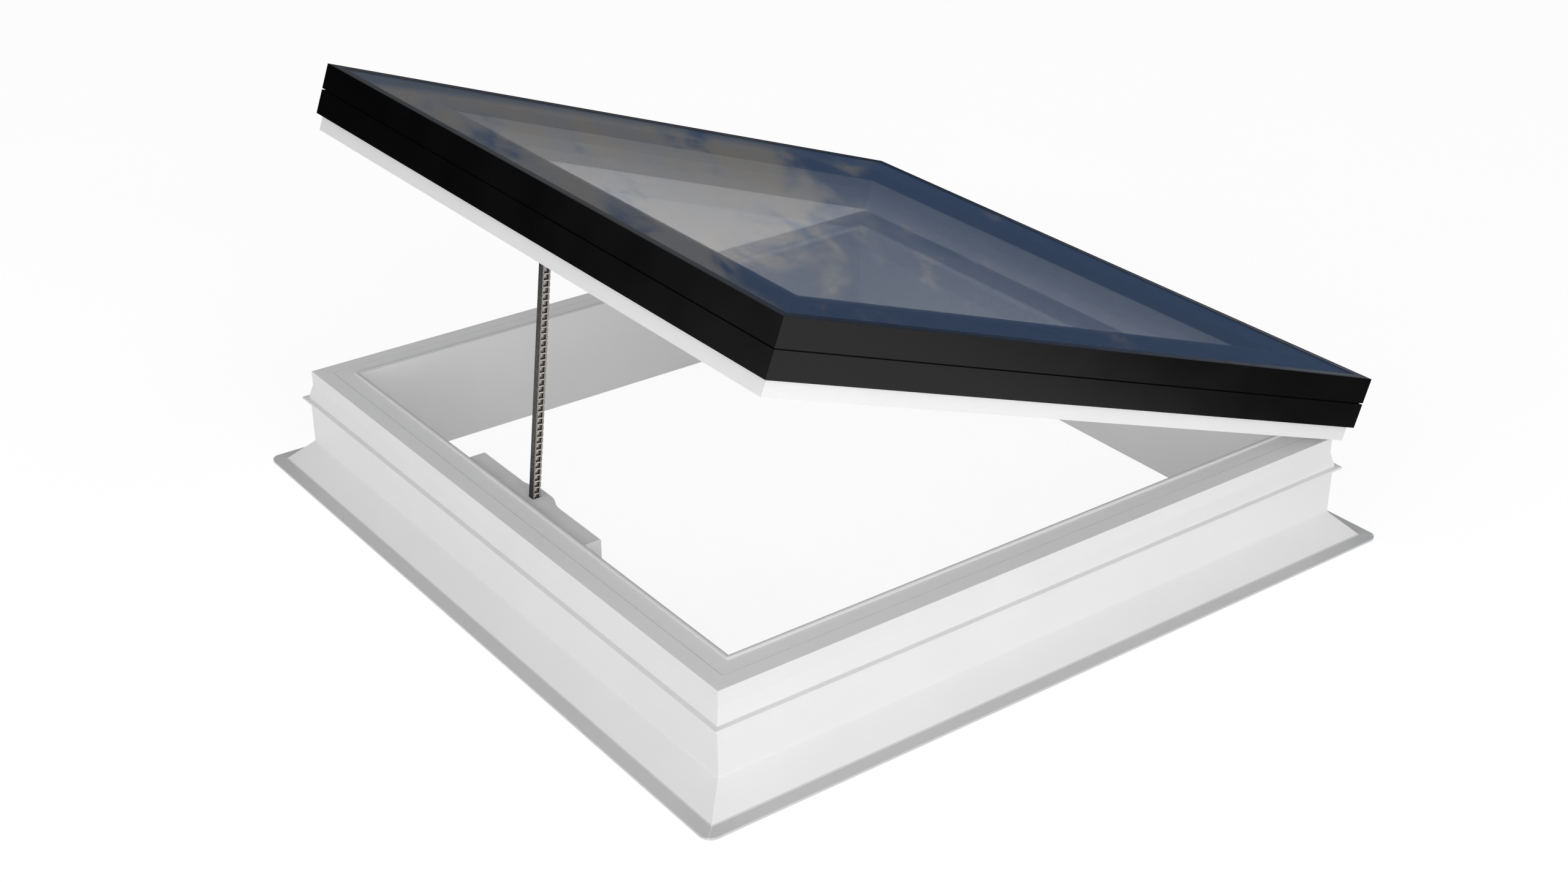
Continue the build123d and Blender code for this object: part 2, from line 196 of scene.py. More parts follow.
def eye_share(tree: Tree) -> Socket:
    """One for camera, glossy and transmission rays, so metal and glass show the pale background too.

    Args:
        tree: node tree of a material or the world.

    Returns:
        A socket from 0 to 1.
    """
    rays = add_node(tree, "LightPath").outputs
    seen = maths(tree, "MAXIMUM", rays["Is Camera Ray"], rays["Is Glossy Ray"])
    return maths(tree, "MAXIMUM", seen, rays["Is Transmission Ray"])


def blank_material(name: str) -> tuple[Material, Tree]:
    """Make a material whose node tree is empty.

    Args:
        name: name of the material.

    Returns:
        The material and its node tree.
    """
    material = bpy.data.materials.new(name)
    material.use_nodes = True
    material.node_tree.nodes.clear()
    return material, material.node_tree


def surfaced(material: Material, shader: bpy.types.Node) -> Material:
    """Let a shader be the surface of its material.

    Args:
        material: the material.
        shader: its last shader node.

    Returns:
        The same material.
    """
    add_node(material.node_tree, "OutputMaterial", {"Surface": shader.outputs[0]})
    return material


def make_piece(name: str, points: np.ndarray, faces: list, finish: Material, smooth: bool = False) -> Piece:
    """Make an object at the origin from points and faces.

    Args:
        name: name of the piece.
        points: array of points, one row each, in metres.
        faces: lists of point numbers.
        finish: material of the piece.
        smooth: whether faces are shaded smooth.

    Returns:
        The new object, linked to the scene.
    """
    mesh = bpy.data.meshes.new(name)
    mesh.from_pydata(points.tolist(), [], faces)
    mesh.polygons.foreach_set("use_smooth", np.full(len(mesh.polygons), smooth))
    mesh.materials.append(finish)
    mesh.validate()
    mesh.update()
    piece = bpy.data.objects.new(name, mesh)
    bpy.context.scene.collection.objects.link(piece)
    return piece


def carry(piece: Piece, body: Body) -> Piece:
    """Let a piece ride on a body and report it.

    Args:
        piece: the finished piece.
        body: the body that it moves with.

    Returns:
        The same piece.
    """
    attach(piece, body.value)
    LOG.info("%s rides on %s, %d faces", piece.name, body.value, len(piece.data.polygons))
    return piece


def dress_node(name: str, material: Material) -> None:
    """Give a CAD node its finish.

    Args:
        name: name of the CAD node.
        material: the finish.
    """
    slots = frame["nodes"][name].data.materials
    slots.clear()
    slots.append(material)
    LOG.info("%s is dressed in %s", name, material.name)


def loft(loops: np.ndarray) -> Shell:
    """Skin closed loops that follow each other, and close both ends.

    Point (i, j) of the surface is point j of loop i; neighbours in i and j make a quad.

    Args:
        loops: array of stations, points in a loop, and three coordinates.

    Returns:
        Points and faces.
    """
    stations, count, _ = loops.shape
    row, column = np.meshgrid(np.arange(stations - 1), np.arange(count), indexing="ij")
    here, beside = row * count + column, row * count + (column + 1) % count
    quads = np.stack([here, beside, beside + count, here + count], axis=-1).reshape(-1, 4)
    ends = [np.arange(count)[::-1].tolist(), ((stations - 1) * count + np.arange(count)).tolist()]
    return loops.reshape(-1, 3), quads.tolist() + ends


def gather(shells: list) -> Shell:
    """Put several shells of points and faces into one.

    Args:
        shells: pairs of points and faces.

    Returns:
        Points and faces of them all.
    """
    starts = np.cumsum([0] + [len(points) for points, _ in shells])
    faces = [[int(start) + number for number in face]
             for start, (_, shell) in zip(starts, shells) for face in shell]
    return np.vstack([points for points, _ in shells]), faces


def repeated(shell: Shell, offsets: np.ndarray) -> Shell:
    """Copy one shell to many places.

    Args:
        shell: points and faces.
        offsets: one row of three coordinates for each copy.

    Returns:
        Points and faces of all copies.
    """
    points, faces = shell
    return gather([(points + offset, faces) for offset in offsets])


def bevelled_plate(outline: np.ndarray, low: float, high: float, bevel: float) -> Shell:
    """Thicken a flat outline into a plate with bevelled rims.

    The outline is drawn four times from one side to the other; the first and last
    loops are moved in along the corner bisectors by the bevel.

    Args:
        outline: corners (across, along), counterclockwise.
        low: side coordinate of one face.
        high: side coordinate of the other face.
        bevel: size of the bevel.

    Returns:
        Points (across, side, along) and faces.
    """
    edge = np.roll(outline, -1, axis=0) - outline
    normal = np.stack([edge[:, 1], -edge[:, 0]], axis=1) / np.linalg.norm(edge, axis=1, keepdims=True)
    before = np.roll(normal, 1, axis=0)
    bisector = (normal + before) / (1 + (normal * before).sum(axis=1, keepdims=True))
    inner = outline - bevel * bisector
    loops = []
    for corners, side in ((inner, low), (outline, low + bevel), (outline, high - bevel), (inner, high)):
        loops.append(np.stack([corners[:, 0], np.full(len(corners), side), corners[:, 1]], axis=1))
    points, faces = loft(np.array(loops))
    return points, [face[::-1] for face in faces]


def box_outline(left: float, right: float, low: float, high: float) -> np.ndarray:
    """Corners of an upright rectangle, counterclockwise."""
    return np.array([(left, low), (right, low), (right, high), (left, high)])


def turned_about(profile: np.ndarray, steps: int, hexagon_rows: tuple[int, ...]) -> Shell:
    """Turn a profile about the z axis into a closed shell.

    Point (i, j) lies at radius r_i and height z_i in direction 2 pi j / steps. In hexagon
    rows the radius grows by 1 / cos of the angle from the nearest flat's middle.

    Args:
        profile: rows of radius and height, from the foot up.
        steps: number of directions.
        hexagon_rows: numbers of the rows that are hexagons, for a key socket.

    Returns:
        Points and faces.
    """
    angle = 2 * np.pi * np.arange(steps) / steps
    radius = np.repeat(profile[:, :1], steps, axis=1)
    from_flat = (angle + np.pi / 6) % (np.pi / 3) - np.pi / 6
    for row in hexagon_rows:
        radius[row] = radius[row] / np.cos(from_flat)
    height = np.repeat(profile[:, 1:], steps, axis=1)
    loops = np.stack([radius * np.cos(angle), radius * np.sin(angle), height], axis=-1)
    return loft(loops)


# Finishes


@dataclass(frozen=True)
class ExtrudedPlastic:
    """Satin white uPVC, extruded and welded: fine lines along the profile and a pale weld at the mitres.

    Levels change the colour from a height upwards: painted shade on the flange, a painted highlight on the
    rim, painted shade on the bead.
    """

    name: str
    run: Run
    turned: bool
    colour: str
    weld_colour: str = "#F9F9F9"
    roughness: float = 0.42
    ior: float = 1.53
    line_spacing: float = 2.5 * MM      # real lines are 0.3 mm apart; drawn coarser to show
    line_depth: float = 0.05 * MM
    weld_width: float = 0.7 * MM
    cloud: float = 120 * MM
    cloud_tone: float = 0.975           # of the full tone, where a cloud is darkest
    levels: tuple[tuple[float, str], ...] = ()
    level_blend: float = 0.3 * MM

    def material(self) -> Material:
        """Build the finish.

        Returns:
            The material.
        """
        material, tree = blank_material(self.name)
        place = closed_place(tree) if self.turned else object_place(tree)
        stretched = add_node(tree, "Mapping", {"Vector": place, "Scale": self.run.value})
        lines = noise(tree, stretched.outputs[0], self.line_spacing)
        weld = self.weld_mask(tree, place)
        tone = ranged(tree, noise(tree, place, self.cloud), NOISE, (self.cloud_tone, 1.0))
        base = linear(self.colour)
        height = add_node(tree, "SeparateXYZ", {0: place})
        for level, level_colour in self.levels:
            above = ranged(tree, height.outputs[2], (level, level + self.level_blend))
            base = mixed(tree, above, base, linear(level_colour))
        plain = add_node(tree, "Mix", {0: 1.0, 6: base, 7: tone}, data_type="RGBA", blend_type="MULTIPLY")
        colour = mixed(tree, weld, plain.outputs[2], linear(self.weld_colour))
        gloss = ranged(tree, lines, (0.0, 1.0), around(self.roughness))
        bump = add_node(tree, "Bump", {
            "Height": maths(tree, "ADD", lines, weld), "Strength": 0.25, "Distance": self.line_depth})
        shader = add_node(tree, "BsdfPrincipled", {
            "Base Color": colour, "Roughness": gloss, "IOR": self.ior, "Normal": bump.outputs[0]})
        return surfaced(material, shader)

    def weld_mask(self, tree: Tree, place: Socket) -> Socket:
        """One on the mitre planes, where the distances from both middle planes are equal.

        Args:
            tree: the node tree.
            place: position in the closed object's coordinates.

        Returns:
            A socket from 0 to 1.
        """
        split = add_node(tree, "SeparateXYZ", {0: place})
        across = maths(tree, "ABSOLUTE", split.outputs[0])
        along = maths(tree, "ABSOLUTE", split.outputs[1])
        gap = maths(tree, "ABSOLUTE", maths(tree, "SUBTRACT", across, along))
        return ranged(tree, gap, (0.0, self.weld_width), (1.0, 0.0))


def object_place(tree: Tree) -> Socket:
    """Position on the object, in metres."""
    return add_node(tree, "TexCoord").outputs["Object"]


def closed_place(tree: Tree) -> Socket:
    """Position on the lid as it lies closed: turned back by the opening angle about the hinge.

    Args:
        tree: the node tree.

    Returns:
        The position socket.
    """
    turn = Euler((0, -OPENING_ANGLE, 0))
    shift = PIVOT - turn.to_matrix() @ PIVOT
    mapping = add_node(tree, "Mapping", {
        "Vector": object_place(tree), "Location": shift, "Rotation": turn})
    return mapping.outputs[0]


@dataclass(frozen=True)
class PowderCoat:
    """Black polyester powder baked on aluminium: near black, with a very fine orange peel."""

    name: str = "black_powder_coat_on_aluminium"
    colour: str = "#040404"
    roughness: float = 0.37
    gloss_spread: float = 0.04
    ior: float = 1.5
    gloss_level: float = 0.28           # half the usual: fine texture swallows part of the gloss
    grain: float = 2.2 * MM             # real orange peel is about 0.8 mm; drawn coarser to show
    grain_depth: float = 0.04 * MM
    patch: float = 90 * MM

    def material(self) -> Material:
        """Build the finish.

        Returns:
            The material.
        """
        material, tree = blank_material(self.name)
        place = object_place(tree)
        gloss = ranged(tree, noise(tree, place, self.patch), NOISE, around(self.roughness, self.gloss_spread))
        bump = add_node(tree, "Bump", {
            "Height": noise(tree, place, self.grain, 3.0), "Strength": 0.3, "Distance": self.grain_depth})
        shader = add_node(tree, "BsdfPrincipled", {
            "Base Color": linear(self.colour), "Roughness": gloss, "IOR": self.ior,
            "Specular IOR Level": self.gloss_level, "Normal": bump.outputs[0]})
        return surfaced(material, shader)


@dataclass(frozen=True)
class FloatGlass:
    """Clear low-iron float glass: flat, polished by the float bath, almost without a tint."""

    name: str = "clear_low_iron_float_glass"
    colour: str = "#FEFEFE"
    ior: float = 1.52
    wave: float = 250 * MM
    wave_depth: float = 0.05 * MM

    def material(self) -> Material:
        """Build the finish.

        Returns:
            The material.
        """
        material, tree = blank_material(self.name)
        waves = noise(tree, object_place(tree), self.wave, 1.0)
        bump = add_node(tree, "Bump", {
            "Height": waves, "Strength": 0.05, "Distance": self.wave_depth})
        shader = add_node(tree, "BsdfPrincipled", {
            "Base Color": linear(self.colour), "Roughness": 0.0, "IOR": self.ior,
            "Transmission Weight": 1.0, "Normal": bump.outputs[0]})
        return surfaced(material, shader)


@dataclass(frozen=True)
class Mottled:
    """A plain finish whose tone and gloss vary in soft patches: enamel, rubber, zinc, moulded plastic."""

    name: str
    dark: str
    light: str
    roughness: float
    patch: float
    metallic: float = 0.0
    ior: float = 1.5
    bump: float = 0.03 * MM

    def material(self) -> Material:
        """Build the finish.

        Returns:
            The material.
        """
        material, tree = blank_material(self.name)
        place = object_place(tree)
        patch = noise(tree, place, self.patch, 4.0, Roughness=0.6)
        colour = mixed(tree, ranged(tree, patch, NOISE), linear(self.dark), linear(self.light))
        gloss = ranged(tree, patch, NOISE, around(self.roughness))
        bump = add_node(tree, "Bump", {
            "Height": patch, "Strength": 0.3, "Distance": self.bump})
        shader = add_node(tree, "BsdfPrincipled", {
            "Base Color": colour, "Roughness": gloss, "Metallic": self.metallic,
            "IOR": self.ior, "Normal": bump.outputs[0]})
        return surfaced(material, shader)


# Enamel printed under the glass and fired on: dark, and glossy through the glass
ENAMEL = Mottled("fired_glass_enamel", "#08090B", "#0C0E12", 0.35, 30 * MM)
# Warm-edge spacer of filled plastic: matt black, so the gap between the panes reads as part of the border
SPACER = Mottled("black_warm_edge_spacer", "#060607", "#09090B", 0.6, 20 * MM, ior=1.45)
# Silicone and EPDM rubber: dull black, barely patchy
RUBBER = Mottled("black_silicone_rubber", "#101012", "#18181A", 0.75, 15 * MM, ior=1.45)
# Glazing gasket of satin EPDM, wiped clean: darker than the glass, yet it shines where it is seen edge-on
GASKET = Mottled("satin_glazing_gasket", "#0B0C0D", "#101112", 0.3, 20 * MM, ior=1.48, bump=0.002 * MM)
# Zinc-plated sheet steel: bright, with soft cloudy crystals
ZINC = Mottled("zinc_plated_steel", "#A9ADB2", "#C4C7CA", 0.34, 4 * MM, metallic=1.0)
# Moulded ABS, spark-eroded tool: even light grey with a fine satin
HOUSING = Mottled("pale_grey_moulded_abs", "#E9E9E9", "#EFEFEF", 0.42, 40 * MM)


@dataclass(frozen=True)
class RubbedSteel:
    """Oiled spring steel, stamped and tumbled: bright on its flats, brown with old grease in its pockets, and
    dark on its front and back as painted shade.
    """

    name: str = "oiled_chain_steel_painted_shade"
    # Each face's share of bright metal: wear on the rungs and teeth, painted shade where it is low on the
    # front and back
    attribute: str = "bright_metal"
    # Greasy brown: old grease in the pockets, and painted shade on the front and back
    grease_and_shade: str = "#3A3633"
    bright_metal: str = "#D2CCC7"
    fleck: str = "#DAD5D0"
    roughness: float = 0.4
    patch: float = 2.5 * MM
    patch_depth: float = 0.08 * MM
    patch_share: float = 0.06           # how far a patch shifts the share of bright metal
    fleck_size: float = 1.3 * MM
    fleck_noise: tuple[float, float] = (0.66, 0.72)     # only the noise's peaks are flecks
    metallic: float = 0.85              # the grease film hides some of the metal

    def material(self) -> Material:
        """Build the finish; the mesh's own attribute says how much bright metal each face shows. It is worn
        bright on the rungs and teeth and held low on the front and back as painted shade.

        Returns:
            The material.
        """
        material, tree = blank_material(self.name)
        place = object_place(tree)
        bright = add_node(tree, "Attribute", attribute_name=self.attribute)
        patch = noise(tree, place, self.patch, 3.0, Roughness=0.6)
        wander = ranged(tree, patch, NOISE, around(0.0, self.patch_share))
        share = add_node(tree, "Math", {0: bright.outputs["Fac"], 1: wander}, operation="ADD", use_clamp=True)
        colour = mixed(tree, share.outputs[0], linear(self.grease_and_shade), linear(self.bright_metal))
        spots = ranged(tree, noise(tree, place, self.fleck_size, 1.0), self.fleck_noise, (0.0, 0.5))
        flecked = mixed(tree, spots, colour, linear(self.fleck))
        gloss = ranged(tree, patch, NOISE, around(self.roughness))
        bump = add_node(tree, "Bump", {
            "Height": patch, "Strength": 0.3, "Distance": self.patch_depth})
        shader = add_node(tree, "BsdfPrincipled", {
            "Base Color": flecked, "Roughness": gloss, "Metallic": self.metallic, "Normal": bump.outputs[0]})
        return surfaced(material, shader)


@dataclass(frozen=True)
class FloorPaint:
    """White floor that keeps the shadow: mostly its own light to the eye, plain white to the lamps."""

    name: str = "white_studio_floor"
    colour: str = "#E8E8E8"
    own_light: float = 0.83
    dim: tuple[float, float] = (0.29, 0.31)     # tones of the paint that the eye sees under its own light
    grain: float = 500 * MM

    def material(self) -> Material:
        """Build the finish.

        Returns:
            The material.
        """
        material, tree = blank_material(self.name)
        tone = ranged(tree, noise(tree, object_place(tree), self.grain), (0.0, 1.0), self.dim)
        paint = add_node(tree, "BsdfDiffuse", {"Color": linear(self.colour)})
        dim = add_node(tree, "BsdfDiffuse", {"Color": tone})
        glow = add_node(tree, "Emission", {
            "Color": linear("#FFFFFF"), "Strength": self.own_light})
        seen = add_node(tree, "AddShader", {0: dim.outputs[0], 1: glow.outputs[0]})
        return surfaced(material, add_node(tree, "MixShader", {
            0: eye_share(tree), 1: paint.outputs[0], 2: seen.outputs[0]}))


@dataclass(frozen=True)
class CloudySky:
    """Sky painted on a card, blue on one side and cloudy on the other.

    The share of cloud is a noise plus the distance u = y cos a - x sin a past the line between
    them, which stands at angle a. Below the sloping line 0.463 x + z = 0.7 the clouds dissolve in haze.
    """

    name: str = "cloudy_sky_card"
    blue: str = "#3D4E6A"
    cool_cloud: str = "#727479"
    warm_cloud: str = "#7A7774"
    haze: str = "#545E6D"
    line: float = math.radians(44.0)    # angle a
    line_reach: float = 0.35            # past this distance from the line the share of cloud grows no more
    flatness: float = 2.2               # how much longer than high a cloud is
    bank: float = 1 / 4.5               # size of a bank of cloud
    patch: float = 1 / 9                # size of a warm patch in it
    haze_slope: float = 0.463
    haze_edge: tuple[float, float] = (0.695, 0.71)

    def material(self) -> Material:
        """Build the finish.

        Returns:
            The material.
        """
        material, tree = blank_material(self.name)
        place = object_place(tree)
        stretched = add_node(tree, "Mapping", {
            "Vector": place, "Scale": (1.0, 1.0, self.flatness)}).outputs[0]
        banks = noise(tree, stretched, self.bank, 7.0, Roughness=0.62, Distortion=0.4)
        warm = ranged(tree, noise(tree, stretched, self.patch, 5.0, Roughness=0.6), (0.42, 0.64))
        past = add_node(tree, "VectorMath", {
            0: place, 1: (-math.sin(self.line), math.cos(self.line), 0.0)}, operation="DOT_PRODUCT")
        lean = ranged(tree, past.outputs["Value"], around(0.0, self.line_reach), (-0.2, 0.13))
        share = add_node(tree, "MapRange", {
            "Value": maths(tree, "ADD", banks, lean), "From Min": 0.44, "From Max": 0.62},
            interpolation_type="SMOOTHSTEP")
        billow = mixed(tree, warm, linear(self.cool_cloud), linear(self.warm_cloud))
        above = add_node(tree, "VectorMath", {
            0: place, 1: (self.haze_slope, 0.0, 1.0)}, operation="DOT_PRODUCT")
        haze = ranged(tree, above.outputs["Value"], self.haze_edge, (1.0, 0.0))
        cloud = mixed(tree, haze, billow, linear(self.haze))
        tone = mixed(tree, share.outputs[0], linear(self.blue), cloud)
        return surfaced(material, add_node(tree, "Emission", {
            "Color": tone, "Strength": 1.0}))


@dataclass(frozen=True)
class PaintedCard:
    """An even card with its own light, a little uneven like brushed paint."""

    name: str
    colour: str
    stroke: float = 1 / 3               # size of an uneven patch
    unevenness: float = 0.05

    def material(self) -> Material:
        """Build the finish.

        Returns:
            The material.
        """
        material, tree = blank_material(self.name)
        uneven = noise(tree, object_place(tree), self.stroke)
        level = ranged(tree, uneven, (0.0, 1.0), around(1.0, self.unevenness))
        return surfaced(material, add_node(tree, "Emission", {
            "Color": linear(self.colour), "Strength": level}))


# Sub-assemblies


@dataclass
class KerbLooks:
    """White kerb: outer and inner profiles, mitred and welded. Heights in metres."""

    flange_top: float = 4.3 * MM        # painted shade: the flange is duller up to here
    rim_top: float = 146.4 * MM         # painted highlight: the rim is whiter from here
    bead_side: float = 147.1 * MM       # painted shade: the bead is greyer from here
    # The flange and bead colours are painted shade and the rim colour is a painted highlight; the wall colour
    # is the plastic's own white
    shaded_flange_colour: str = "#D4D4D4"
    wall_colour: str = "#F1F1F1"
    lit_rim_colour: str = "#FAFAFA"
    shaded_bead_colour: str = "#DCDCDC"

    def dress(self) -> None:
        """Dress the kerb and liner profiles, each along its own run."""
        # The rim level paints light, and the flange and bead levels paint shade
        rim = (self.rim_top, self.lit_rim_colour)
        outer = {run: ExtrudedPlastic(f"white_welded_upvc_painted_shading_{run.name.lower()}", run, False,
                                      colour=self.shaded_flange_colour,
                                      levels=((self.flange_top, self.wall_colour), rim)).material()
                 for run in Run}
        inner = {run: ExtrudedPlastic(f"white_liner_upvc_painted_shading_{run.name.lower()}", run, False,
                                      colour=self.wall_colour,
                                      levels=(rim, (self.bead_side, self.shaded_bead_colour))).material()
                 for run in Run}
        for side, run in SIDES.items():
            dress_node(f"kerb_{side}", outer[run])
            dress_node(f"liner_{side}", inner[run])


@dataclass
class LidLooks:
    """Lid: white sash, two black tiers of cladding, and the weather seals."""

    sash_colour: str = "#F8F8F8"

    def dress(self) -> None:
        """Dress the sash, cladding, cap and seal profiles."""
        sashes = {run: ExtrudedPlastic(f"white_sash_upvc_{run.name.lower()}", run, True,
                                       colour=self.sash_colour).material()
                  for run in Run}
        coat = PowderCoat().material()
        rubber = RUBBER.material()
        for side, run in SIDES.items():
            dress_node(f"sash_{side}", sashes[run])
            dress_node(f"cladding_{side}", coat)
            dress_node(f"cap_{side}", coat)
            dress_node(f"seal_{side}", rubber)
        dress_node("edge_seal", rubber)


@dataclass
class Glazing:
    """Insulating glass with a dark border, a spacer and a gasket. Sizes in metres, lid closed."""

    half_width: float = 510 * MM        # pane edge from the middle
    edge_margin: float = 1 * MM         # bare glass outside the border
    clear_half: float = 419 * MM        # clear glass from the middle
    bonded_half: float = 494.5 * MM     # outside this, over the edge seal, the border is bonded to the pane
    inner_foot: float = 209.4 * MM      # underside of the inner pane
    inner_pane: float = 4 * MM
    gap: float = 16 * MM
    outer_pane: float = 6 * MM
    print_depth: float = 0.1 * MM
    proud: float = 0.02 * MM            # how far a bonded border stands out of the glass
    print_gap: float = 0.3 * MM         # air between the outer pane and the loose part of its border
    spacer_wall: float = 2 * MM
    spacer_play: float = 0.05 * MM      # between the spacer and what it stands between
    gasket_outer: float = 510.2 * MM
    gasket_inner: float = 499 * MM
    gasket_height: float = 0.3 * MM

    def square_ring(self, name: str, halves: tuple[float, float], heights: tuple[float, float],
                    finish: Material) -> Piece:
        """Make a thin square frame: four loops, outer low, outer high, inner high, inner low, joined round.

        Point (i, j) is corner j of square loop i; the last loop joins the first, as on a ring.

        Args:
            name: name of the piece.
            halves: half widths of its outer and inner edges.
            heights: its underside and its top on the closed lid.
            finish: material of the frame.

        Returns:
            The piece, turned with the open lid.
        """
        corner = np.array([(-1, -1), (1, -1), (1, 1), (-1, 1)], float)
        (outer, inner), (low, high) = halves, heights
        loops = np.array([
            np.column_stack([corner * half, np.full(4, height)])
            for half, height in ((outer, low), (outer, high), (inner, high), (inner, low))])
        row, column = np.meshgrid(np.arange(4), np.arange(4), indexing="ij")
        here, beside = row * 4 + column, row * 4 + (column + 1) % 4
        above, above_beside = (row + 1) % 4 * 4 + column, (row + 1) % 4 * 4 + (column + 1) % 4
        quads = np.stack([here, beside, above_beside, above], axis=-1).reshape(-1, 4)
        piece = make_piece(name, opened(loops.reshape(-1, 3)), quads.tolist(), finish)
        return carry(piece, Body.LID)

    def border(self, name: str, outer: float, inner: float, foot: float, finish: Material) -> None:
        """Lay a dark border, as thin as print, between two half widths with its underside at this height."""
        self.square_ring(name, (outer, inner), (foot, foot + self.print_depth), finish)

    def build(self) -> None:
        """Dress both panes, make the dark borders and the spacer, and lay the gasket round the outer pane.

        Over the clear gap the outer border lies just under the pane, so that both faces of the
        pane mirror there as they do over the spacer's side, and the two read as one dark border.
        """
        glass = FloatGlass().material()
        dress_node("outer_pane", glass)
        dress_node("inner_pane", glass)
        enamel = ENAMEL.material()
        edge = self.half_width - self.edge_margin
        inner_top = self.inner_foot + self.inner_pane
        outer_foot = inner_top + self.gap
        sheet = outer_foot - self.print_gap - self.print_depth
        self.border("outer_print_rim", edge, self.bonded_half, outer_foot - self.proud, enamel)
        self.border("outer_print", self.bonded_half - self.print_gap, self.clear_half, sheet, enamel)
        self.border("inner_print", edge, self.clear_half, self.inner_foot - self.proud, enamel)
        self.square_ring("spacer_wall", (self.clear_half + self.spacer_wall, self.clear_half),
                         (inner_top + self.spacer_play, sheet - self.spacer_play),
                         SPACER.material())
        top = outer_foot + self.outer_pane - self.proud
        self.square_ring("glazing_gasket", (self.gasket_outer, self.gasket_inner),
                         (top, top + self.gasket_height), GASKET.material())


def opened(points: np.ndarray) -> np.ndarray:
    """Turn points of the closed lid about the hinge to where the open lid is.

    Args:
        points: rows of x, y, z with the lid closed.

    Returns:
        The same rows with the lid open.
    """
    turn = np.array(Euler((0, OPENING_ANGLE, 0)).to_matrix())
    pivot = np.array(PIVOT)
    return (points - pivot) @ turn.T + pivot


